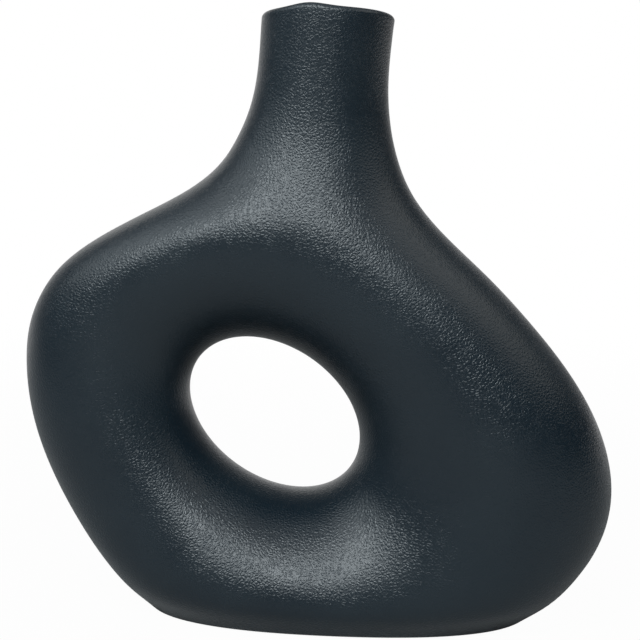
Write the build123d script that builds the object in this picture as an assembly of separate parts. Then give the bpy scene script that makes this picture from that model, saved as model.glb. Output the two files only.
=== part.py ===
from build123d import *
import os

import numpy as np

# A hollow stoneware vase: a flattened body with an oval hole right through it, and a
# short round neck that leans a little. Two clay walls meet in the plane of the outline,
# the neck is set into the top of them, and they stand on a base with four felt pads.
# Millimetres, +Z up, the viewer at -Y. The origin is on the table, under the middle.

# The whole vase, at the middle of its depth.
overall_height = 251.2
left_reach = 122.9
right_reach = 122.9
left_bulge_height = 105.0
right_bulge_height = 55.0

# How deep it is from front to back, and how square its sections are where it is deepest.
body_half_depth = 48.0
body_half_depth_height = 85.0
body_square_share = 0.44

# The oval hole at its narrowest, and how softly the body rolls into it.
hole_length = 78.6
hole_width = 56.4
hole_side = 18.4
hole_height = 84.6
hole_tilt_deg = -34.4
hole_roll_share = 2.6
cavity_roll_share = 0.8 * hole_roll_share

wall = 5.5

# The neck, its bore, and the socket that it sits in.
neck_radius = 27.0
neck_lean_deg = 4.0
neck_side = 0.93
neck_straight_length = 28.7
neck_piece_length = 38.2
socket_depth = 3.0

# The lip is cut a little aslant, highest at the front left, and rounded over.
lip_slant_deg = 2.1
lip_high_turn_deg = -18.0
lip_outer_share = 0.44
lip_inner_share = 0.36

# The foot, and the step of the base that the walls stand round.
foot_left = 68.4
foot_right = 87.6
foot_half_depth = 34.5
foot_edge_radius = 1.2
foot_land = 6.5
base_thickness = 5.5
step_height = 2.5
slip_gap = 0.15

# The felt pads in the recess under the base.
recess_depth = 1.5
pad_stand_out = 0.5
pad_radius = 5.0
pad_margin = 5.0
pad_turn_deg = 45.0
pad_edge_radius = 0.3

# Where one belt of wall passes to the next, between the top of the hole and the neck.
crown_share = 0.3
shoulder_share = 0.61

# How far a cutting body runs past what it cuts.
overrun = 2.0

# Each outline as pairs of shares: how high between two named heights, and how far out
# between the two named widths there.
left_rise_shares = [(0.1, 0.2), (0.25, 0.445), (0.45, 0.692), (0.7, 0.903)]
left_fall_shares = [
    (0.12, 0.988), (0.25, 0.928), (0.35, 0.833), (0.44, 0.686), (0.53, 0.486),
    (0.61, 0.304), (0.7, 0.163), (0.8, 0.08), (0.9, 0.028),
]
right_rise_shares = [(0.15, 0.308), (0.36, 0.618), (0.55, 0.817), (0.75, 0.946)]
right_fall_shares = [
    (0.09, 0.98), (0.2, 0.908), (0.3, 0.802), (0.42, 0.632), (0.54, 0.43),
    (0.63, 0.261), (0.72, 0.126), (0.8, 0.057), (0.9, 0.013),
]
depth_rise_shares = [(0.05, 0.32), (0.11, 0.68), (0.22, 0.93), (0.42, 0.95), (0.7, 0.96)]
depth_fall_shares = [
    (0.19, 0.93), (0.38, 0.815), (0.49, 0.685), (0.57, 0.54), (0.65, 0.35),
    (0.73, 0.19), (0.82, 0.065),
]

# How many points fix a patch of wall each way.
patch_points = 11

# Too little to be a distance: it keeps the hole's edge exactly in the middle plane.
speck_share = 1e-12

foot_plane = pad_stand_out
base_top = foot_plane + base_thickness
neck_joint_height = overall_height - neck_piece_length
bore_radius = neck_radius - wall
lean_share = np.tan(np.radians(neck_lean_deg))


class Curve:
    """A natural cubic spline: a width for each height."""

    def __init__(self, points):
        self.heights, self.widths = np.array(sorted(points), float).T
        gaps = np.diff(self.heights)
        slopes = np.diff(self.widths) / gaps
        ties = np.eye(len(self.heights))
        turns = np.zeros(len(self.heights))
        for i in range(1, len(self.heights) - 1):
            ties[i, i - 1:i + 2] = gaps[i - 1], 2 * (gaps[i - 1] + gaps[i]), gaps[i]
            turns[i] = 6 * (slopes[i] - slopes[i - 1])
        self.bends = np.linalg.solve(ties, turns)

    def span(self, height):
        """The stretch that a height lies in, its length, and the height's share of it."""
        i = np.clip(np.searchsorted(self.heights, height) - 1, 0, len(self.heights) - 2)
        gap = self.heights[i + 1] - self.heights[i]
        return i, gap, (height - self.heights[i]) / gap

    def width(self, height):
        i, gap, b = self.span(height)
        a = 1 - b
        bow = (a**3 - a) * self.bends[i] + (b**3 - b) * self.bends[i + 1]
        return a * self.widths[i] + b * self.widths[i + 1] + bow * gap**2 / 6

    def slope(self, height):
        i, gap, b = self.span(height)
        a = 1 - b
        bow = (3 * b**2 - 1) * self.bends[i + 1] - (3 * a**2 - 1) * self.bends[i]
        return (self.widths[i + 1] - self.widths[i]) / gap + bow * gap / 6

    def inset(self, distance):
        """The same curve moved inwards along its own normals."""
        slopes = self.slope(self.heights)
        lengths = np.sqrt(1 + slopes**2)
        heights = self.heights + distance * slopes / lengths
        return Curve(zip(heights, self.widths - distance / lengths))


def neck_axis(height):
    """How far to the right the leaning axis of the neck is at a height."""
    return neck_side - (overall_height - height) * lean_share


def outline(foot, reach, bulge_height, rise_shares, fall_shares, neck):
    """One side of the vase, from the foot out to the bulge and in to the neck."""
    bulge = foot_plane + bulge_height
    neck_start = overall_height - neck_straight_length
    root = neck(neck_start)
    points = [(foot_plane, foot), (bulge, reach), (neck_start, root)]
    for up, out in rise_shares:
        points.append((foot_plane + up * bulge_height, foot + out * (reach - foot)))
    for up, out in fall_shares:
        points.append((bulge + up * (neck_start - bulge), root + out * (reach - root)))
    for height in (overall_height, overall_height + wall):
        points.append((height, neck(height)))
    return Curve(points)


class Form:
    """The surface of the vase, or of the hollow in it when it is inset by the wall."""

    def __init__(self, inset, roll_share):
        self.inset = inset
        self.roll_share = roll_share
        self.left = outline(
            foot_left, left_reach, left_bulge_height, left_rise_shares,
            left_fall_shares, lambda height: neck_radius - neck_axis(height),
        ).inset(inset)
        self.right = outline(
            foot_right, right_reach, right_bulge_height, right_rise_shares,
            right_fall_shares, lambda height: neck_radius + neck_axis(height),
        ).inset(inset)
        self.depth = outline(
            foot_half_depth, body_half_depth, body_half_depth_height,
            depth_rise_shares, depth_fall_shares, lambda height: neck_radius,
        ).inset(inset)

    def section(self, height):
        """The middle and the half width of the body at a height."""
        left, right = self.left.width(height), self.right.width(height)
        return (right - left) / 2, (right + left) / 2

    def hole_axes(self):
        """The hole's half length and half width, and the cosine and sine of its tilt."""
        tilt = np.radians(hole_tilt_deg)
        half_length, half_width = hole_length / 2 + self.inset, hole_width / 2 + self.inset
        return half_length, half_width, np.cos(tilt), np.sin(tilt)

    def hole_edge(self, turn):
        """A point of the hole's edge, as an angle round the body and a height."""
        half_length, half_width, cosine, sine = self.hole_axes()
        along, across = half_length * np.cos(turn), half_width * np.sin(turn)
        side = along * cosine - across * sine - hole_side
        height = along * sine + across * cosine + foot_plane + hole_height
        middle, half = self.section(height)
        return np.array([np.arccos((middle - side) / half), height])

    def roll(self, side, height):
        """The share of the depth that the roll into the hole leaves."""
        half_length, half_width, cosine, sine = self.hole_axes()
        right, up = side + hole_side, height - foot_plane - hole_height
        along = (right * cosine + up * sine) / half_length
        across = (up * cosine - right * sine) / half_width
        clear = max(along**2 + across**2 - 1 - speck_share, 0)
        return np.sqrt(1 - np.exp(-clear / self.roll_share))

    def point(self, angle, height, face):
        """A point of the surface; the angle runs from the left outline to the right."""
        middle, half = self.section(height)
        depth = self.depth.width(height)
        side = middle - half * np.cos(angle)
        full = (depth + self.inset - neck_radius) / (body_half_depth - neck_radius)
        square = np.sqrt(1 - body_square_share * (full * np.cos(angle)) ** 2)
        return side, face * depth * self.roll(side, height) * np.sin(angle) / square, height

    def half_depth(self, height):
        """How far the surface is from the middle plane, half way across."""
        return self.point(np.pi / 2, height, 1)[1]


def stations():
    """Places from 0 to 1 for the points of a patch, closer together at its ends."""
    return (1 - np.cos(np.linspace(0, np.pi, patch_points))) / 2


def control_net(samples):
    """The control points of the smooth surface that passes through these points."""
    degree = patch_points - 1
    choose = [1.0]
    for j in range(degree):
        choose.append(choose[-1] * (degree - j) / (j + 1))
    t = stations()[:, None]
    j = np.arange(patch_points)
    undo = np.linalg.inv(choose * t**j * (1 - t) ** (degree - j))
    return np.einsum("ai,bj,ijk->abk", undo, undo, samples)


def patch(point):
    """A face through the points that point(u, v) gives for u and v from 0 to 1."""
    samples = np.array([[point(u, v) for v in stations()] for u in stations()])
    return Face.make_bezier_surface([[Vector(*p) for p in row] for row in control_net(samples)])


def belt(form, face, low, high):
    """Two patches between two heights, clear of the hole, one to each side."""
    patches = []
    for start in (0, np.pi / 2):

        def point(u, v):
            return form.point(start + u * np.pi / 2, low + v * (high - low), face)

        patches.append(patch(point))
    return patches


def round_hole(form, face, low, high):
    """Eight patches round the hole, each from its edge out to the rim of the block."""
    left, front, right = 0, np.pi / 2, np.pi
    middle = foot_plane + hole_height
    rim = [(right, low), (right, middle), (right, high), (front, high)]
    rim += [(left, high), (left, middle), (left, low), (front, low)]
    patches = []
    for k in range(len(rim)):
        start, end = np.array(rim[k]), np.array(rim[(k + 1) % len(rim)])

        def point(u, v):
            edge = form.hole_edge((k + u) * 2 * np.pi / len(rim))
            outer = start + (end - start) * u
            angle, height = edge + (outer - edge) * (1 - np.cos(v * np.pi / 2))
            return form.point(angle, height, face)

        patches.append(patch(point))
    return patches


def skin(form, face):
    """One face of the body, from the base to the neck's joint."""
    half_length, half_width, cosine, sine = form.hole_axes()
    rise = np.hypot(half_length * sine, half_width * cosine)
    hole_top = foot_plane + hole_height + rise + wall - form.inset
    crown = hole_top + crown_share * (neck_joint_height - hole_top)
    shoulder = hole_top + shoulder_share * (neck_joint_height - hole_top)
    patches = round_hole(form, face, base_top, crown)
    patches += belt(form, face, crown, shoulder)
    patches += belt(form, face, shoulder, neck_joint_height)
    return patches


def wires_in(plane, faces):
    """The edges of these faces that lie in a plane, joined end to end."""
    edges = []
    for edge in ShapeList(faces).edges():
        if all(plane.contains(edge @ t) for t in (0, 0.3, 0.7, 1)):
            edges.append(edge)
    return Wire.combine(edges)


def ribbon(outer, inner):
    """The flat face between two open wires, closed by a straight edge at each end."""
    ends = [inner @ 0, inner @ 1]
    ties = []
    for end in (outer @ 0, outer @ 1):
        near = min(ends, key=lambda p: (p - end).length)
        ties.append(Edge.make_line(end, near))
    return Face(Wire([*outer.edges(), *inner.edges(), *ties]))


def wall_half(outer, inner, face):
    """The front or the back wall, with its flat joint faces."""
    outside, inside = skin(outer, face), skin(inner, face)
    joints = []
    for plane in (Plane.XY.offset(base_top), Plane.XY.offset(neck_joint_height)):
        joints.append(ribbon(wires_in(plane, outside)[0], wires_in(plane, inside)[0]))
    outer_wires = wires_in(Plane.XZ, outside).sort_by(Axis.X)
    inner_wires = wires_in(Plane.XZ, inside).sort_by(Axis.X)
    joints.append(ribbon(outer_wires[0], inner_wires[0]))
    joints.append(Face(inner_wires[1], [outer_wires[1]]))
    joints.append(ribbon(outer_wires[2], inner_wires[2]))
    return Solid(Shell([*outside, *inside, *joints]))


def slice_of(outer, low, high):
    """The whole section of the vase between two heights, not hollow."""
    sides = belt(outer, -1, low, high) + belt(outer, 1, low, high)
    ends = []
    for plane in (Plane.XY.offset(low), Plane.XY.offset(high)):
        ends.append(Face(wires_in(plane, sides)[0]))
    return Solid(Shell([*sides, *ends]))


def foot_oval(outer, height, margin, thickness):
    """An upright oval plug, smaller than the vase's section there by a margin."""
    middle, half = outer.section(height)
    shape = Ellipse(half - margin, outer.half_depth(height) - margin)
    return extrude(Pos(middle, 0, height) * shape, thickness)


def neck_bar(radius, low, high):
    """A round bar along the leaning axis of the neck, between two heights."""
    start, end = Vector(neck_axis(low), 0, low), Vector(neck_axis(high), 0, high)
    across = Plane(start, x_dir=(1, 0, -lean_share), z_dir=end - start)
    return extrude(across * Circle(radius), (end - start).length)


def body_walls(outer, inner):
    """The front and back walls, cut for the base's step and for the neck's end."""
    step = foot_oval(outer, base_top, wall / 2, step_height)
    socket = neck_bar(
        bore_radius + wall / 2, neck_joint_height - socket_depth, neck_joint_height + wall
    )
    walls = {}
    for name, face in (("front_wall", -1), ("back_wall", 1)):
        walls[name] = wall_half(outer, inner, face) - step - socket
    return walls


def lip_plane():
    """The plane of the lip, through the highest point of the neck's rim."""
    turn = np.radians(lip_high_turn_deg)
    towards = Vector(np.sin(turn), -np.cos(turn), 0)
    high = Vector(neck_axis(overall_height), 0, overall_height) + towards * neck_radius
    return Plane(high, z_dir=Vector(0, 0, 1) - towards * np.tan(np.radians(lip_slant_deg)))


def neck(outer):
    """The round neck, with a rounded lip and an end that sits in the walls' socket."""
    end = neck_bar(
        bore_radius + wall / 2 - slip_gap,
        neck_joint_height - socket_depth + slip_gap,
        neck_joint_height + wall,
    )
    start = neck_joint_height - socket_depth - overrun
    bore = neck_bar(bore_radius, start, overall_height + overrun)
    tube = slice_of(outer, neck_joint_height, overall_height) + end - bore
    body = split(tube, bisect_by=lip_plane(), keep=Keep.BOTTOM)
    rims = body.faces().filter_by(GeomType.PLANE).sort_by(Axis.Z)[-1]
    body = fillet(rims.outer_wire().edges(), lip_outer_share * wall)
    rims = body.faces().filter_by(GeomType.PLANE).sort_by(Axis.Z)[-1]
    return fillet(rims.inner_wires()[0].edges(), lip_inner_share * wall)


def base(outer):
    """The slab that closes the vase, with its step above and its recess below."""
    slab = slice_of(outer, foot_plane, base_top)
    under = slab.faces().sort_by(Axis.Z)[0]
    slab = fillet(under.outer_wire().edges(), foot_edge_radius)
    step = foot_oval(outer, base_top, wall / 2 + slip_gap, step_height - slip_gap)
    recess = foot_oval(outer, foot_plane, foot_land, recess_depth)
    return slab + step - recess


def foot_pads(outer):
    """Four round felt pads in the recess, a margin in from its rim."""
    middle, half = outer.section(foot_plane)
    clear = foot_land + pad_margin + pad_radius
    turn = np.radians(pad_turn_deg)
    right = (half - clear) * np.cos(turn)
    back = (outer.half_depth(foot_plane) - clear) * np.sin(turn)
    pads = {}
    for side_name, side in (("left", -1), ("right", 1)):
        for end_name, front in (("front", -1), ("back", 1)):
            disc = extrude(Circle(pad_radius), recess_depth + pad_stand_out)
            disc = fillet(disc.edges().sort_by(Axis.Z)[:1], pad_edge_radius)
            place = Pos(middle + side * right, front * back, 0)
            pads[f"pad_{side_name}_{end_name}"] = place * disc
    return pads


if __name__ == "__main__":
    os.makedirs("parts", exist_ok=True)
    outer_form = Form(0.0, hole_roll_share)
    hollow_form = Form(wall, cavity_roll_share)
    pieces = body_walls(outer_form, hollow_form)
    pieces["neck"] = neck(outer_form)
    pieces["base"] = base(outer_form)
    pieces.update(foot_pads(outer_form))
    for name, piece in pieces.items():
        export_step(piece, f"parts/{name}.step")
        print(name, round(piece.volume), piece.is_valid)
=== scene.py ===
import bmesh
import bpy
import numpy as np
from mathutils import Matrix, Vector


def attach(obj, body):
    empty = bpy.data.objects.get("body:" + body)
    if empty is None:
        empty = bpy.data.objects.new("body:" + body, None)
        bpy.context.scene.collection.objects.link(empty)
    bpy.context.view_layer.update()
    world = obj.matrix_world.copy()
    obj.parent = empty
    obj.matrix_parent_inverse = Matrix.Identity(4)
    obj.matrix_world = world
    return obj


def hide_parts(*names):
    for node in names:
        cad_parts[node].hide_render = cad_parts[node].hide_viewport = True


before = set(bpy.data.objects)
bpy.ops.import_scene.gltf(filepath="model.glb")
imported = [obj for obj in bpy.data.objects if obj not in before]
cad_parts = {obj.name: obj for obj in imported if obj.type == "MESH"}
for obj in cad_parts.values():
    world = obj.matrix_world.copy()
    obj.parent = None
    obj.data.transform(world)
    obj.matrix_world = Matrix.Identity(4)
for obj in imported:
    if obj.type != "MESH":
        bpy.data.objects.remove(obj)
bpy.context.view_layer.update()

# A hollow stoneware vase with an oval hole through its body, in a matte blue-black glaze
# with a leather grain. Two clay walls meet in the plane of the outline, the neck is set
# into the top of them, and they stand on a base with four felt pads. Metres throughout,
# +Z up, the viewer at -Y.
MM = 0.001

# The whole vase, at the middle of its depth.
overall_height = 251.2 * MM
left_reach = 122.9 * MM
right_reach = 122.9 * MM
left_bulge_height = 105.0 * MM
right_bulge_height = 55.0 * MM
body_half_depth = 48.0 * MM
body_half_depth_height = 85.0 * MM
body_square_share = 0.44

# The oval hole, and how softly the body rolls into it.
hole_length = 78.6 * MM
hole_width = 56.4 * MM
hole_side = 18.4 * MM
hole_height = 84.6 * MM
hole_tilt_deg = -34.4
hole_roll_share = 2.6
cavity_roll_share = 0.8 * hole_roll_share

wall = 5.5 * MM

# The neck, its bore and its lip.
neck_radius = 27.0 * MM
neck_lean_deg = 4.0
neck_side = 0.93 * MM
neck_straight_length = 28.7 * MM
neck_piece_length = 38.2 * MM
socket_depth = 3.0 * MM
lip_outer_share = 0.44
lip_inner_share = 0.36

# The foot, the step inside it, and the felt pads in the recess under it.
foot_left = 68.4 * MM
foot_right = 87.6 * MM
foot_half_depth = 34.5 * MM
foot_edge_radius = 1.2 * MM
foot_land = 6.5 * MM
base_thickness = 5.5 * MM
step_height = 2.5 * MM
slip_gap = 0.15 * MM
recess_depth = 1.5 * MM
recess_edge_radius = 0.3 * MM
pad_stand_out = 0.5 * MM
pad_radius = 5.0 * MM
pad_margin = 5.0 * MM
pad_turn_deg = 45.0
pad_edge_radius = 0.3 * MM

# Where one belt of wall passes to the next, between the top of the hole and the neck.
crown_share = 0.3
shoulder_share = 0.61

# Each outline as pairs of shares: how high between two named heights, and how far out
# between the two named widths there.
left_rise_shares = [(0.1, 0.2), (0.25, 0.445), (0.45, 0.692), (0.7, 0.903)]
left_fall_shares = [
    (0.12, 0.988), (0.25, 0.928), (0.35, 0.833), (0.44, 0.686), (0.53, 0.486),
    (0.61, 0.304), (0.7, 0.163), (0.8, 0.08), (0.9, 0.028),
]
right_rise_shares = [(0.15, 0.308), (0.36, 0.618), (0.55, 0.817), (0.75, 0.946)]
right_fall_shares = [
    (0.09, 0.98), (0.2, 0.908), (0.3, 0.802), (0.42, 0.632), (0.54, 0.43),
    (0.63, 0.261), (0.72, 0.126), (0.8, 0.057), (0.9, 0.013),
]
depth_rise_shares = [(0.05, 0.32), (0.11, 0.68), (0.22, 0.93), (0.42, 0.95), (0.7, 0.96)]
depth_fall_shares = [
    (0.19, 0.93), (0.38, 0.815), (0.49, 0.685), (0.57, 0.54), (0.65, 0.35),
    (0.73, 0.19), (0.82, 0.065),
]

# How finely the sheets are laid out: quads along an eighth of the hole's rim, quads out
# from the hole and up each belt, and quads round an arc and up the neck and the foot.
# Corners within a speck of each other are one, and slopes are taken over a small step.
eighth_quads = 40
outer_quads = (48, 18)
hollow_quads = (24, 9)
arc_quads = 8
neck_quads = 20
collar_quads = 8
bore_quads = 12
foot_quads = 6
pad_quads = 48
speck = MM / 1000
slope_step = MM / 20

# How the lip slants away from its highest point, how much further it dips to each side
# of it, and how far below the lip that begins.
lip_slant_deg = 2.1
lip_high_turn_deg = -18.0
lip_dip = 1.35 * MM
lip_dip_turn_deg = -15.0
lip_dip_spread_deg = 14.0
lip_dip_start = 9.0 * MM

# The camera stood this far from the vase's axis and this high, and looked this way.
camera_distance = 518.0 * MM
camera_height = 182.0 * MM
camera_turn_deg = 3.0
camera_pitch_deg = 6.3
camera_roll_deg = 1.2
camera_near_share = 0.1
sensor_width_mm = 36.0
focal_share = 1250.0 / 640.0

# The glaze: matte blue-black, shrunk into a net of fine grooves like leather.
glaze_dark = (0.0030, 0.0088, 0.0142, 1)
glaze_light = (0.0052, 0.0120, 0.0178, 1)
glaze_roughness = (0.31, 0.36)
glaze_specular = 0.5
glaze_cloud_size = 40.0 * MM
grain_size = 1.3 * MM
grain_depth = 0.078 * MM
grain_groove_share = 0.35
grain_fine_share = 0.35
grain_drift = 1.2 * MM
grain_drift_size = 3.0 * MM
grain_patch_size = 20.0 * MM
grain_patch_shares = (0.7, 1.0)

# The smooth glaze inside, the bare clay and the felt.
liner_dark = (0.012, 0.015, 0.018, 1)
liner_light = (0.018, 0.022, 0.026, 1)
liner_roughness = (0.30, 0.42)
liner_run_size = 12.0 * MM
liner_run_depth = 0.10 * MM
clay_body = (0.22, 0.19, 0.165, 1)
clay_grog = (0.09, 0.075, 0.065, 1)
clay_roughness = (0.8, 0.95)
clay_grog_size = 1.6 * MM
clay_grog_edge = (0.1, 0.3)
clay_tooth_size = 0.5 * MM
clay_tooth_depth = 0.05 * MM
felt_dark = (0.035, 0.035, 0.037, 1)
felt_light = (0.07, 0.07, 0.073, 1)
felt_roughness = (0.9, 1.0)
felt_fibre_size = 0.35 * MM
felt_fibre_harshness = 0.7
felt_tuft_size = 1.5 * MM
felt_depth = 0.12 * MM
felt_sheen = 0.5

# The levels of a noise that pass for its low and its high end, and how much finer noise
# is in it.
soft_span = (0.3, 0.7)
wide_span = (0.2, 0.8)
soft_detail = 2.0
cloud_detail = 3.0
gritty_detail = 4.0

# The floor, the room and the lamps. A rise or a fall starts and ends at its first two
# values, in metres or as a share of a direction, and passes between the other two, or
# from 0 to 1. Each lamp has a name, a place, a size in metres, watts and a colour.
floor_reach = 30.0
floor_colour = (0.42, 0.42, 0.42, 1)
floor_white_share = (0.975, 1.0)
floor_white_rise = (0.1, 1.2)
floor_gloss_rise = (0.1, 0.9)
pure_white = (1, 1, 1, 1)
cool_white = (0.89, 0.97, 1.0)
warm_white = (1.0, 0.99, 0.93)
lamp_aim = (0.0, 0.0, 0.12)
room_level = 0.22
viewer_side_fall_right = (-0.1, 0.6, 0.06, 0.01)
backdrop_rise = (0.3, 1.0)
backdrop_fall_up = (0.2, 0.7, 1.0, 0.2)
backdrop_fall_right = (0.1, 0.6, 1.0, 0.3)
overhead_rise = (0.45, 0.95, 0.0, 0.6)
overhead_fall_back = (0.1, 0.7, 1.0, 0.2)
lamps = [
    ("soft_lamp_in_front", (-0.2, -1.25, 1.12), (1.8, 0.4), 30.0, cool_white),
    ("soft_lamp_left", (-1.0, -0.36, 1.06), (1.2, 0.9), 6.0, cool_white),
    ("soft_lamp_right", (1.04, -0.09, 1.06), (1.2, 0.9), 3.0, warm_white),
    ("soft_lamp_behind", (-0.42, 1.16, 0.78), (0.9, 0.6), 0.6, warm_white),
]

foot_plane = pad_stand_out
base_top = foot_plane + base_thickness
step_top = base_top + step_height
neck_joint = overall_height - neck_piece_length
socket_floor = neck_joint - socket_depth
bore_radius = neck_radius - wall
socket_radius = bore_radius + wall / 2
lean_share = np.tan(np.radians(neck_lean_deg))
half_quads = 2 * eighth_quads

# The finishes by their number on a piece, and the sheets that pass smoothly into each
# other by theirs. A flat face belongs to no sheet, and most have no form of their own.
GRAIN, LINER, BARE = 0, 1, 2
FLAT, OUTSIDE, INSIDE = -1, 1, 2
NO_FORM, OUTER, HOLLOW = -1, 0, 1

# The parts of a place or a direction, and the sockets of shader nodes that go by number.
TO_RIGHT, TO_BACK, UPWARDS = 0, 1, 2
PLACE_ON_PIECE, NOISE_COLOUR, LENGTH = 3, 1, 1
MIX_SHARE, FIRST_COLOUR, SECOND_COLOUR, MIXED_COLOUR = 0, 6, 7, 2
TO_CAMERA, IN_GLOSS, THROUGH_GLASS = 0, 3, 6


class Curve:
    """A natural cubic spline: a width for each height."""

    def __init__(self, points):
        self.heights, self.widths = np.array(sorted(points), float).T
        gaps = np.diff(self.heights)
        slopes = np.diff(self.widths) / gaps
        ties = np.eye(len(self.heights))
        turns = np.zeros(len(self.heights))
        for i in range(1, len(self.heights) - 1):
            ties[i, i - 1:i + 2] = gaps[i - 1], 2 * (gaps[i - 1] + gaps[i]), gaps[i]
            turns[i] = 6 * (slopes[i] - slopes[i - 1])
        self.bends = np.linalg.solve(ties, turns)

    def span(self, height):
        """The stretch that a height is in, its length, and the share of it below."""
        i = np.clip(np.searchsorted(self.heights, height) - 1, 0, len(self.heights) - 2)
        gap = self.heights[i + 1] - self.heights[i]
        return i, gap, (height - self.heights[i]) / gap

    def width(self, height):
        i, gap, b = self.span(height)
        a = 1 - b
        bow = (a**3 - a) * self.bends[i] + (b**3 - b) * self.bends[i + 1]
        return a * self.widths[i] + b * self.widths[i + 1] + bow * gap**2 / 6

    def slope(self, height):
        """How fast the width grows with the height."""
        i, gap, b = self.span(height)
        a = 1 - b
        bow = (3 * b**2 - 1) * self.bends[i + 1] - (3 * a**2 - 1) * self.bends[i]
        return (self.widths[i + 1] - self.widths[i]) / gap + bow * gap / 6

    def inset(self, distance):
        """The curve moved in by a distance, square to itself."""
        slopes = self.slope(self.heights)
        lengths = np.sqrt(1 + slopes**2)
        heights = self.heights + distance * slopes / lengths
        return Curve(zip(heights, self.widths - distance / lengths))


def neck_axis(height):
    """How far to the right the leaning axis of the neck is at a height."""
    return neck_side - (overall_height - height) * lean_share


def outline(foot, reach, bulge_height, rise_shares, fall_shares, neck):
    """One side of the vase, from the foot out to the bulge and in to the neck."""
    bulge = foot_plane + bulge_height
    neck_start = overall_height - neck_straight_length
    root = neck(neck_start)
    points = [(foot_plane, foot), (bulge, reach), (neck_start, root)]
    for up, out in rise_shares:
        points.append((foot_plane + up * bulge_height, foot + out * (reach - foot)))
    for up, out in fall_shares:
        points.append((bulge + up * (neck_start - bulge), root + out * (reach - root)))
    for height in (overall_height, overall_height + wall):
        points.append((height, neck(height)))
    return Curve(points)


class Form:
    """The surface of the vase, or of the hollow in it when it is inset by the wall."""

    def __init__(self, inset, roll_share, outwards):
        self.inset = inset
        self.roll_share = roll_share
        self.outwards = outwards
        self.left = outline(
            foot_left, left_reach, left_bulge_height, left_rise_shares,
            left_fall_shares, lambda height: neck_radius - neck_axis(height),
        ).inset(inset)
        self.right = outline(
            foot_right, right_reach, right_bulge_height, right_rise_shares,
            right_fall_shares, lambda height: neck_radius + neck_axis(height),
        ).inset(inset)
        self.depth = outline(
            foot_half_depth, body_half_depth, body_half_depth_height,
            depth_rise_shares, depth_fall_shares, lambda height: neck_radius,
        ).inset(inset)
        tilt = np.radians(hole_tilt_deg)
        self.cosine, self.sine = np.cos(tilt), np.sin(tilt)
        self.half_length = hole_length / 2 + inset
        self.half_width = hole_width / 2 + inset

    def section(self, height):
        """The middle and the half width of the body at a height."""
        left, right = self.left.width(height), self.right.width(height)
        return (right - left) / 2, (right + left) / 2

    def hole_top(self):
        """About how high the hollow begins over the hole, for both forms."""
        rise = np.hypot(self.half_length * self.sine, self.half_width * self.cosine)
        return foot_plane + hole_height + rise + wall - self.inset

    def hole_edge(self, turn):
        """A point of the hole's edge, as an angle round the body and a height."""
        along, across = self.half_length * np.cos(turn), self.half_width * np.sin(turn)
        side = along * self.cosine - across * self.sine - hole_side
        height = along * self.sine + across * self.cosine + foot_plane + hole_height
        middle, half = self.section(height)
        return np.arccos(np.clip((middle - side) / half, -1, 1)), height

    def square_depth(self, side, height):
        """The half depth, squared. It is smooth across the outline and the hole's edge."""
        middle, half = self.section(height)
        depth = self.depth.width(height)
        cosine = (middle - side) / half
        full = (depth + self.inset - neck_radius) / (body_half_depth - neck_radius)
        round_share = (1 - cosine**2) / (1 - body_square_share * (full * cosine) ** 2)
        right, up = side + hole_side, height - foot_plane - hole_height
        along = (right * self.cosine + up * self.sine) / self.half_length
        across = (up * self.cosine - right * self.sine) / self.half_width
        roll_share = 1 - np.exp((1 - along**2 - across**2) / self.roll_share)
        return depth**2 * roll_share * round_share

    def points(self, angle, height, face):
        """Points of the surface; the angle runs from the left outline to the right."""
        angle, height = np.broadcast_arrays(angle, height)
        middle, half = self.section(height)
        side = middle - half * np.cos(angle)
        depth = np.sqrt(np.clip(self.square_depth(side, height), 0, None))
        return np.stack([side, face * depth, height], -1)

    def half_depth(self, height):
        """How far the surface is from the middle plane, half way across."""
        return self.points(np.pi / 2, height, 1)[1]

    def normals(self, points):
        """The directions straight out of the clay at points of the surface."""
        side, back, height = points.T
        depth, step = self.square_depth, slope_step
        across = depth(side + step, height) - depth(side - step, height)
        up = depth(side, height + step) - depth(side, height - step)
        normals = np.stack([-across, 4 * step * back, -up], -1)
        return self.outwards * normals / np.linalg.norm(normals, axis=1)[:, None]


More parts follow.
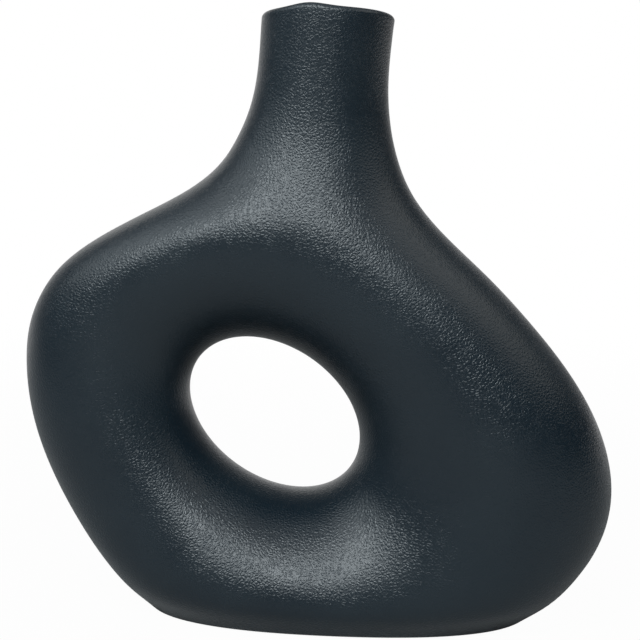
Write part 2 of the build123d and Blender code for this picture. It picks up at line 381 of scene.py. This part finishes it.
class Clay:
    """The sheets of one piece, joined where their corners meet."""

    def __init__(self, *materials):
        self.materials = materials
        self.corners, self.faces = [], []
        self.finishes, self.sheets, self.forms = [], [], []
        self.count = 0

    def add(self, corners, faces, finish, sheet, form):
        """Adds a sheet: its corners, and its faces by the numbers of its own corners."""
        for face in faces:
            self.faces.append([self.count + corner for corner in face])
            self.finishes.append(finish)
            self.sheets.append(sheet)
            self.forms.append(form)
        self.corners.append(corners)
        self.count += len(corners)

    def skin(self, grid, finish, sheet=FLAT, form=NO_FORM):
        """Quads over a grid of points. Faces of one sheet pass smoothly into each other."""
        rows, columns = grid.shape[:2]
        index = np.arange(rows * columns).reshape(rows, columns)
        quads = np.stack([index[:-1, :-1], index[1:, :-1], index[1:, 1:], index[:-1, 1:]], -1)
        self.add(grid.reshape(-1, 3), quads.reshape(-1, 4).tolist(), finish, sheet, form)

    def panel(self, points, finish):
        """One flat face inside a joint."""
        self.add(points, [list(range(len(points)))], finish, FLAT, NO_FORM)

    def fire(self, name):
        """Makes the piece, its faces turned out of the clay, with the forms' own normals."""
        mesh = bpy.data.meshes.new(name)
        mesh.from_pydata(np.concatenate(self.corners).tolist(), [], self.faces)
        for material in self.materials:
            mesh.materials.append(material)
        mesh.polygons.foreach_set("material_index", self.finishes)
        for label, values in (("sheet", self.sheets), ("form", self.forms)):
            mesh.attributes.new(label, "INT", "FACE").data.foreach_set("value", values)
        joined = bmesh.new()
        joined.from_mesh(mesh)
        bmesh.ops.remove_doubles(joined, verts=joined.verts, dist=speck)
        bmesh.ops.recalc_face_normals(joined, faces=joined.faces)
        joined.to_mesh(mesh)
        joined.free()
        mesh.shade_smooth()
        mesh.normals_split_custom_set(self.normals(mesh))
        for label in ("sheet", "form"):
            mesh.attributes.remove(mesh.attributes[label])
        set_in_place(name, mesh)

    def normals(self, mesh):
        """A normal for each corner of each face."""
        def read(items, field, width, kind):
            values = np.zeros(len(items) * width, kind)
            items.foreach_get(field, values)
            return values.reshape(-1, width) if width > 1 else values

        places = read(mesh.vertices, "co", 3, np.float64)
        sizes = read(mesh.polygons, "loop_total", 1, np.int32)
        flats = np.repeat(read(mesh.polygons, "normal", 3, np.float64), sizes, 0)
        areas = np.repeat(read(mesh.polygons, "area", 1, np.float64), sizes)
        corners = read(mesh.loops, "vertex_index", 1, np.int32)
        sheets = np.repeat(read(mesh.attributes["sheet"].data, "value", 1, np.int32), sizes)
        forms_there = np.repeat(read(mesh.attributes["form"].data, "value", 1, np.int32), sizes)
        keys = np.where(sheets == FLAT, 0, sheets) * len(places) + corners
        sums = np.zeros((keys.max() + 1, 3))
        np.add.at(sums, keys, flats * areas[:, None])
        for number, form in enumerate(forms):
            on_form = forms_there == number
            sums[keys[on_form]] = form.normals(places[corners[on_form]])
        normals = np.where((sheets == FLAT)[:, None], flats, sums[keys])
        return normals / np.linalg.norm(normals, axis=1)[:, None]


def set_in_place(name, mesh):
    """Stands a finished mesh for the CAD node of its name."""
    piece = bpy.data.objects.new(name + "_finished", mesh)
    bpy.context.scene.collection.objects.link(piece)
    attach(piece, "root")
    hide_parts(name)


def arc(start, corner, end):
    """Rows of points round a corner, true to a circle where the corner is square."""
    into, out = start - corner, end - corner
    lengths = np.linalg.norm(into, axis=-1) * np.linalg.norm(out, axis=-1)
    turn = np.pi - np.arccos(np.clip((into * out).sum(-1) / lengths, -1, 1))
    weight = np.cos(turn / 2)[..., None]
    rows = []
    for t in np.linspace(0, 1, arc_quads + 1):
        a, b, c = (1 - t) ** 2, 2 * t * (1 - t) * weight, t**2
        rows.append((a * start + b * corner + c * end) / (a + b + c))
    return rows


def full_turn():
    """The angles of a whole ring."""
    return np.linspace(0, 2 * np.pi, 2 * half_quads + 1)


def level_ring(side, back, height):
    """A ring of points at one height."""
    return np.stack(np.broadcast_arrays(side, back, height), -1)


def form_ring(form, height):
    """The whole section of a form at a height, from the left round the front."""
    turn = full_turn()
    face = np.where(turn <= np.pi, -1, 1)
    return form.points(np.where(turn <= np.pi, turn, 2 * np.pi - turn), height, face)


def oval_ring(section_height, margin, height):
    """An oval ring, smaller than the vase's section at a height by a margin."""
    middle, half = forms[OUTER].section(section_height)
    depth = forms[OUTER].half_depth(section_height) - margin
    turn = full_turn()
    return level_ring(middle - (half - margin) * np.cos(turn), -depth * np.sin(turn), height)


def neck_ring(radius, height):
    """A ring round the leaning axis of the neck."""
    turn = full_turn()
    side = neck_axis(height) - radius / np.cos(np.radians(neck_lean_deg)) * np.cos(turn)
    return level_ring(side, -radius * np.sin(turn), height)


def centre(ring):
    """A ring drawn together into its middle."""
    return np.broadcast_to(ring[:-1].mean(0), ring.shape)


def towards(ring, goal, distance):
    """A ring moved level by a distance towards another."""
    way = goal - ring
    return ring + distance * way / np.linalg.norm(way, axis=-1)[:, None]


def half_of(ring, face):
    """The front or the back half of a ring, from the left to the right."""
    return ring[:half_quads + 1] if face < 0 else ring[::-1][:half_quads + 1]


def wall_skin(clay, number, face, low, high, quads, finish, sheet):
    """One face of the body: eight sheets round the hole, and two belts above them.

    It gives back the heights of the face's corners along the outline."""
    form = forms[number]
    hole_top = form.hole_top()
    crown = hole_top + crown_share * (neck_joint - hole_top)
    shoulder = hole_top + shoulder_share * (neck_joint - hole_top)
    middle = foot_plane + hole_height
    left, front, right = 0, np.pi / 2, np.pi
    rim = [(right, low), (right, middle), (right, crown), (front, crown)]
    rim += [(left, crown), (left, middle), (left, low), (front, low)]
    out = 1 - np.cos(np.linspace(0, np.pi / 2, quads[0] + 1))[None, :]
    along = np.linspace(0, 1, eighth_quads + 1)[:, None]
    for k, (angle, height) in enumerate(rim):
        next_angle, next_height = rim[(k + 1) % len(rim)]
        edge_angle, edge_height = form.hole_edge((k + along) * 2 * np.pi / len(rim))
        rim_angle = angle + (next_angle - angle) * along
        rim_height = height + (next_height - height) * along
        angles = edge_angle + (rim_angle - edge_angle) * out
        heights = edge_height + (rim_height - edge_height) * out
        grid = form.points(angles, heights, face)
        # The hole's edge lies in the plane where the walls meet.
        grid[:, 0, 1] = 0
        clay.skin(grid, finish, sheet, number)
    across = np.linspace(left, right, half_quads + 1)[None, :]
    for start, end in ((crown, shoulder), (shoulder, high)):
        up = np.linspace(start, end, quads[1] + 1)[:, None]
        clay.skin(form.points(across, up, face), finish, sheet, number)
    stretches = [(low, middle, eighth_quads), (middle, crown, eighth_quads)]
    stretches += [(crown, shoulder, quads[1]), (shoulder, high, quads[1])]
    heights = [np.linspace(*stretch, endpoint=False) for stretch in stretches]
    return np.append(np.concatenate(heights), high)


def make_wall(name, face):
    """The front or the back wall, with the rabbet for the base and the neck's socket."""
    clay = Clay(*vase_finishes)
    outer, hollow = forms
    outer_heights = wall_skin(
        clay, OUTER, face, base_top, neck_joint, outer_quads, GRAIN, OUTSIDE
    )
    hollow_heights = wall_skin(
        clay, HOLLOW, face, step_top, socket_floor, hollow_quads, LINER, INSIDE
    )
    foot_rows = [
        form_ring(outer, base_top), oval_ring(base_top, wall / 2, base_top),
        oval_ring(base_top, wall / 2, step_top), form_ring(hollow, step_top),
    ]
    neck_rows = [
        form_ring(outer, neck_joint), neck_ring(socket_radius, neck_joint),
        neck_ring(socket_radius, socket_floor), form_ring(hollow, socket_floor),
    ]
    for rows in (foot_rows, neck_rows):
        clay.skin(np.stack([half_of(row, face) for row in rows]), BARE)
    # The flat faces that meet the other wall: round the hole, then left and right of it.
    turns = np.linspace(0, 2 * np.pi, 8 * eighth_quads + 1)
    edges = []
    for form in forms:
        angle, height = form.hole_edge(turns)
        edge = form.points(angle, height, face)
        edge[:, 1] = 0
        edges.append(edge)
    clay.skin(np.stack(edges), BARE)
    for angle, end in ((0, 0), (np.pi, half_quads)):
        up = outer.points(angle, outer_heights, face)
        down = hollow.points(angle, hollow_heights, face)[::-1]
        top = np.stack([half_of(row, face)[end] for row in neck_rows[1:-1]])
        bottom = np.stack([half_of(row, face)[end] for row in foot_rows[1:-1]])[::-1]
        panel = np.concatenate([up, top, down, bottom])
        panel[:, 1] = 0
        clay.panel(panel, BARE)
    clay.fire(name)


def uneven(ring):
    """Lets a ring near the lip slant and dip, as a lip finished by hand does."""
    side, back, height = ring.T
    high_turn = np.radians(lip_high_turn_deg)
    right = side - neck_axis(height)
    forward = right * np.sin(high_turn) - back * np.cos(high_turn)
    sideways = right * np.cos(high_turn) + back * np.sin(high_turn)
    turn = lip_high_turn_deg + np.degrees(np.arctan2(sideways, forward)) - lip_dip_turn_deg
    slant = (neck_radius - forward) * np.tan(np.radians(lip_slant_deg))
    dip = 1 - np.exp(-(turn / lip_dip_spread_deg) ** 2 / 2)
    dip *= lip_dip * (1 + np.cos(np.radians(turn))) / 2
    share = np.clip((height - overall_height + lip_dip_start) / lip_dip_start, 0, 1)
    share = share**2 * (3 - 2 * share)
    return np.stack([side, back, height - share * (slant + dip)], -1)


def make_neck(name):
    """The round neck, its lip, its bore and the end that sits in the walls' socket."""
    outer = forms[OUTER]
    lip_outer, lip_inner = lip_outer_share * wall, lip_inner_share * wall
    rim, mouth = form_ring(outer, overall_height), neck_ring(bore_radius, overall_height)
    end_floor = socket_floor + slip_gap
    collar = overall_height - lip_dip_start
    sides, slanted = [], []
    for height in np.linspace(neck_joint, collar, neck_quads + 1):
        sides.append(form_ring(outer, height))
    for height in np.linspace(collar, overall_height - lip_outer, collar_quads + 1):
        slanted.append(form_ring(outer, height))
    lip = arc(slanted[-1], rim, towards(rim, mouth, lip_outer))
    throat = neck_ring(bore_radius, overall_height - lip_inner)
    lip += arc(towards(mouth, rim, lip_inner), mouth, throat)
    bore = []
    for height in np.linspace(overall_height - lip_inner, end_floor, bore_quads + 1):
        bore.append(neck_ring(bore_radius, height))
    plug = socket_radius - slip_gap
    joint = [bore[-1], neck_ring(plug, end_floor), neck_ring(plug, neck_joint), sides[0]]
    clay = Clay(*vase_finishes)
    clay.skin(np.stack(sides), GRAIN, OUTSIDE, OUTER)
    clay.skin(np.stack([uneven(row) for row in slanted + lip[1:]]), GRAIN, OUTSIDE)
    clay.skin(np.stack([uneven(row) for row in bore]), LINER, OUTSIDE)
    clay.skin(np.stack(joint), BARE)
    clay.fire(name)


def make_base(name):
    """The slab under the walls, with its step above and its foot ring and recess below."""
    outer = forms[OUTER]
    plug = wall / 2 + slip_gap
    plug_top = oval_ring(base_top, plug, step_top - slip_gap)
    plug_foot = oval_ring(base_top, plug, base_top)
    sides = []
    for height in np.linspace(base_top, foot_plane + foot_edge_radius, foot_quads + 1):
        sides.append(form_ring(outer, height))
    sole = form_ring(outer, foot_plane)
    heel = arc(sides[-1], sole, towards(sole, centre(sole), foot_edge_radius))
    rim = oval_ring(foot_plane, foot_land, foot_plane)
    ceiling = oval_ring(foot_plane, foot_land, foot_plane + recess_depth)
    recess_wall = rim + np.array([0, 0, recess_edge_radius])
    land = [heel[-1], *arc(towards(rim, heel[-1], recess_edge_radius), rim, recess_wall)]
    clay = Clay(*vase_finishes)
    clay.skin(np.stack([centre(plug_top), plug_top]), LINER)
    clay.skin(np.stack([plug_top, plug_foot]), LINER)
    clay.skin(np.stack([plug_foot, sides[0]]), BARE)
    clay.skin(np.stack(sides), GRAIN, OUTSIDE, OUTER)
    clay.skin(np.stack(heel), GRAIN, OUTSIDE)
    clay.skin(np.stack([*land, ceiling]), BARE)
    clay.skin(np.stack([ceiling, centre(ceiling)]), BARE)
    clay.fire(name)


def make_pad(name, side, front):
    """A round pad of pressed felt."""
    outer = forms[OUTER]
    middle, half = outer.section(foot_plane)
    clear = foot_land + pad_margin + pad_radius
    pad_turn = np.radians(pad_turn_deg)
    place = np.array([
        middle + side * (half - clear) * np.cos(pad_turn),
        front * (outer.half_depth(foot_plane) - clear) * np.sin(pad_turn), 0,
    ])
    turn = np.linspace(0, 2 * np.pi, pad_quads + 1)

    def ring(radius, height):
        return place + level_ring(radius * np.cos(turn), radius * np.sin(turn), height)

    thick = recess_depth + pad_stand_out
    inner = pad_radius - pad_edge_radius
    foot = arc(ring(pad_radius, pad_edge_radius), ring(pad_radius, 0), ring(inner, 0))
    clay = Clay(pad_felt)
    clay.skin(np.stack([ring(0, thick), ring(pad_radius, thick)]), GRAIN)
    clay.skin(np.stack([ring(pad_radius, thick), *foot]), GRAIN, OUTSIDE)
    clay.skin(np.stack([foot[-1], ring(0, 0)]), GRAIN)
    clay.fire(name)


class Signal:
    """A socket of a shader that takes part in sums. Any other node comes from node()."""

    def __init__(self, tree, socket=None):
        self.tree, self.socket = tree, socket

    def node(self, kind, settings={}, inputs={}, output=0):
        """A node: its settings first, then the values or the links of its sockets."""
        made = self.tree.nodes.new(kind)
        for name, value in settings.items():
            setattr(made, name, value)
        for name, value in inputs.items():
            if isinstance(value, Signal):
                self.tree.links.new(value.socket, made.inputs[name])
            else:
                made.inputs[name].default_value = value
        return Signal(self.tree, made.outputs[output] if made.outputs else None)

    def sum(self, operation, *values):
        return self.node("ShaderNodeMath", {"operation": operation}, dict(enumerate(values)))

    def __add__(self, other):
        return self.sum("ADD", self, other)

    __radd__ = __add__

    def __sub__(self, other):
        return self.sum("SUBTRACT", self, other)

    def __rsub__(self, other):
        return self.sum("SUBTRACT", other, self)

    def __mul__(self, other):
        return self.sum("MULTIPLY", self, other)

    __rmul__ = __mul__

    def larger(self, other):
        """The larger of this value and another."""
        return self.sum("MAXIMUM", self, other)

    def moved(self, other):
        """This vector with another added."""
        return self.node("ShaderNodeVectorMath", {"operation": "ADD"}, {0: self, 1: other})

    def scaled(self, scale):
        """This vector times a number."""
        return self.node(
            "ShaderNodeVectorMath", {"operation": "SCALE"}, {0: self, "Scale": scale}
        )

    def length(self):
        """How long this vector is."""
        return self.node("ShaderNodeVectorMath", {"operation": "LENGTH"}, {0: self}, LENGTH)

    def part(self, axis):
        """How far this vector goes along an axis."""
        return self.node("ShaderNodeSeparateXYZ", {}, {"Vector": self}, axis)

    def ramp(self, low, high, out_low=0.0, out_high=1.0):
        """This value passed smoothly from one range to another."""
        sockets = {"Value": self, "From Min": low, "From Max": high}
        sockets |= {"To Min": out_low, "To Max": out_high}
        return self.node("ShaderNodeMapRange", {"interpolation_type": "SMOOTHSTEP"}, sockets)

    def blend(self, first, second):
        """The first colour where this value is 0, and the second where it is 1."""
        sockets = {MIX_SHARE: self, FIRST_COLOUR: first, SECOND_COLOUR: second}
        return self.node("ShaderNodeMix", {"data_type": "RGBA"}, sockets, MIXED_COLOUR)


def new_finish(name):
    """An empty material, and the place on its piece, which its nodes are made from."""
    material = bpy.data.materials.new(name)
    material.use_nodes = True
    material.node_tree.nodes.clear()
    place = Signal(material.node_tree).node("ShaderNodeTexCoord", output=PLACE_ON_PIECE)
    return material, place


def noise(place, size, detail, harshness=0.5, output=0):
    """A soft noise with spots of about this size, from 0 to 1."""
    sockets = {"Vector": place, "Scale": 1 / size, "Detail": detail, "Roughness": harshness}
    return place.node("ShaderNodeTexNoise", {}, sockets, output)


def cells(place, size, feature):
    """A net of cells of about this size."""
    sockets = {"Vector": place, "Scale": 1 / size}
    return place.node("ShaderNodeTexVoronoi", {"feature": feature}, sockets)


def lay_on(colour, roughness, height, constants={}):
    """Ends a finish: its colour, its roughness and the height in metres of its bumps."""
    bump = height.node("ShaderNodeBump", {}, {"Strength": 1.0, "Distance": 1.0, "Height": height})
    sockets = {"Base Color": colour, "Roughness": roughness, "Normal": bump, **constants}
    shader = bump.node("ShaderNodeBsdfPrincipled", {}, sockets)
    shader.node("ShaderNodeOutputMaterial", {}, {"Surface": shader})


def make_leather_glaze():
    """Matte blue-black glaze, shrunk into a fine leather grain."""
    material, place = new_finish("leather_glaze")
    drift = noise(place, grain_drift_size, soft_detail, output=NOISE_COLOUR)
    bent = place.moved(drift.moved((-0.5, -0.5, -0.5)).scaled(grain_drift))
    grooves = cells(bent, grain_size, "DISTANCE_TO_EDGE").ramp(0.0, grain_groove_share)
    small = noise(bent, grain_size / 2, soft_detail)
    height = grooves * grain_depth + small * (grain_depth * grain_fine_share)
    worn = noise(place, grain_patch_size, soft_detail).ramp(*soft_span, *grain_patch_shares)
    cloud = noise(place, glaze_cloud_size, cloud_detail)
    colour = cloud.ramp(*soft_span).blend(glaze_dark, glaze_light)
    roughness = cloud.ramp(*soft_span, *glaze_roughness)
    lay_on(colour, roughness, height * worn, {"Specular IOR Level": glaze_specular})
    return material


def make_liner_glaze():
    """The smooth glaze inside, poured in and out again."""
    material, place = new_finish("liner_glaze")
    cloud = noise(place, glaze_cloud_size, cloud_detail)
    runs = noise(place, liner_run_size, soft_detail)
    colour = cloud.ramp(*soft_span).blend(liner_dark, liner_light)
    lay_on(colour, cloud.ramp(*soft_span, *liner_roughness), runs * liner_run_depth)
    return material


def make_bare_clay():
    """Unglazed stoneware with specks of grog, under the foot and in the joints."""
    material, place = new_finish("bare_clay")
    grog = cells(place, clay_grog_size, "F1").ramp(*clay_grog_edge, 1.0, 0.0)
    tooth = noise(place, clay_tooth_size, gritty_detail)
    colour = (grog * tooth).blend(clay_body, clay_grog)
    lay_on(colour, tooth.ramp(*wide_span, *clay_roughness), tooth * clay_tooth_depth)
    return material


def make_felt():
    """Pressed felt: matted fibres with a little fuzz."""
    material, place = new_finish("pressed_felt")
    matted = noise(place, felt_fibre_size, gritty_detail, felt_fibre_harshness)
    tufts = noise(place, felt_tuft_size, soft_detail)
    colour = matted.ramp(*soft_span).blend(felt_dark, felt_light)
    roughness = tufts.ramp(*wide_span, *felt_roughness)
    lay_on(colour, roughness, (matted + tufts) * felt_depth, {"Sheen Weight": felt_sheen})
    return material


def ray(start, kind):
    """1 for the rays of a kind, and 0 for all others."""
    return start.node("ShaderNodeLightPath", output=kind)


def seen_share(start, in_gloss):
    """1 for the rays to the camera and through glass, and a share for those in gloss."""
    seen = ray(start, TO_CAMERA).larger(ray(start, THROUGH_GLASS))
    return seen.larger(ray(start, IN_GLOSS) * in_gloss)


def make_floor():
    """A plain white floor that keeps the vase's shadow."""
    mesh = bpy.data.meshes.new("floor")
    ends = (-floor_reach, floor_reach)
    mesh.from_pydata([(side, back, 0) for side in ends for back in ends], [], [(0, 2, 3, 1)])
    material, place = new_finish("white_floor")
    seen = seen_share(place, place.part(TO_BACK).ramp(*floor_gloss_rise))
    white_share = place.length().ramp(*floor_white_rise, *floor_white_share)
    diffuse = place.node("ShaderNodeBsdfDiffuse", {}, {"Color": floor_colour})
    white = place.node("ShaderNodeEmission", {}, {"Color": pure_white, "Strength": 1.0})
    mixed = place.node("ShaderNodeMixShader", {}, {0: seen * white_share, 1: diffuse, 2: white})
    place.node("ShaderNodeOutputMaterial", {}, {"Surface": mixed})
    mesh.materials.append(material)
    floor = bpy.data.objects.new("floor", mesh)
    bpy.context.scene.collection.objects.link(floor)


def make_world():
    """A white background round a softly lit room."""
    world = bpy.data.worlds.new("white_room")
    bpy.context.scene.world = world
    world.use_nodes = True
    world.node_tree.nodes.clear()
    way = Signal(world.node_tree).node("ShaderNodeTexCoord")
    right, depth, rise = map(way.part, (TO_RIGHT, TO_BACK, UPWARDS))
    in_front = right.ramp(*viewer_side_fall_right)
    behind = depth.ramp(*backdrop_rise) * rise.ramp(*backdrop_fall_up)
    behind = behind * right.ramp(*backdrop_fall_right)
    overhead = rise.ramp(*overhead_rise) * depth.ramp(*overhead_fall_back)
    seen = seen_share(way, behind.larger(overhead).larger(in_front))
    strength = seen.larger((1 - ray(way, IN_GLOSS)) * room_level)
    room = way.node("ShaderNodeBackground", {}, {"Color": pure_white, "Strength": strength})
    way.node("ShaderNodeOutputWorld", {}, {"Surface": room})


def make_lamp(name, place, size, power, colour):
    """A soft rectangular lamp, turned to the vase."""
    data = bpy.data.lights.new(name, "AREA")
    data.shape = "RECTANGLE"
    data.size, data.size_y = size
    data.color = colour
    data.energy = power
    lamp = bpy.data.objects.new(name, data)
    lamp.location = place
    lamp.rotation_mode = "QUATERNION"
    lamp.rotation_quaternion = (Vector(lamp_aim) - Vector(place)).to_track_quat("-Z", "Y")
    lamp.visible_camera = False
    bpy.context.scene.collection.objects.link(lamp)


def make_camera():
    """The camera, where the photograph was taken from."""
    turn, pitch, roll = np.radians((camera_turn_deg, camera_pitch_deg, camera_roll_deg))
    up = Vector((0, 0, 1))
    back = Vector((np.sin(turn), -np.cos(turn), 0))
    right = Vector((np.cos(turn), np.sin(turn), 0))
    ahead = -back * np.cos(pitch) - up * np.sin(pitch)
    above = up * np.cos(pitch) - back * np.sin(pitch)
    rolled_right = right * np.cos(roll) + above * np.sin(roll)
    rolled_above = above * np.cos(roll) - right * np.sin(roll)
    place = back * camera_distance + up * camera_height
    data = bpy.data.cameras.new("camera")
    data.sensor_width = sensor_width_mm
    data.lens = sensor_width_mm * focal_share
    data.clip_start = camera_near_share * camera_distance
    data.clip_end = 2 * floor_reach
    camera = bpy.data.objects.new("camera", data)
    rows = zip(rolled_right, rolled_above, -ahead, place)
    camera.matrix_world = Matrix([*rows, (0, 0, 0, 1)])
    bpy.context.scene.collection.objects.link(camera)
    bpy.context.scene.camera = camera


# The forms of the outside and of the hollow, then the finishes, the pieces and the room.
forms = [Form(0.0, hole_roll_share, 1), Form(wall, cavity_roll_share, -1)]
vase_finishes = [make_leather_glaze(), make_liner_glaze(), make_bare_clay()]
pad_felt = make_felt()

make_wall("front_wall", -1)
make_wall("back_wall", 1)
make_neck("neck")
make_base("base")
for side_name, side in (("left", -1), ("right", 1)):
    for end_name, front in (("front", -1), ("back", 1)):
        make_pad(f"pad_{side_name}_{end_name}", side, front)

make_floor()
make_world()
for lamp in lamps:
    make_lamp(*lamp)
make_camera()
bpy.context.scene.view_settings.view_transform = "Standard"
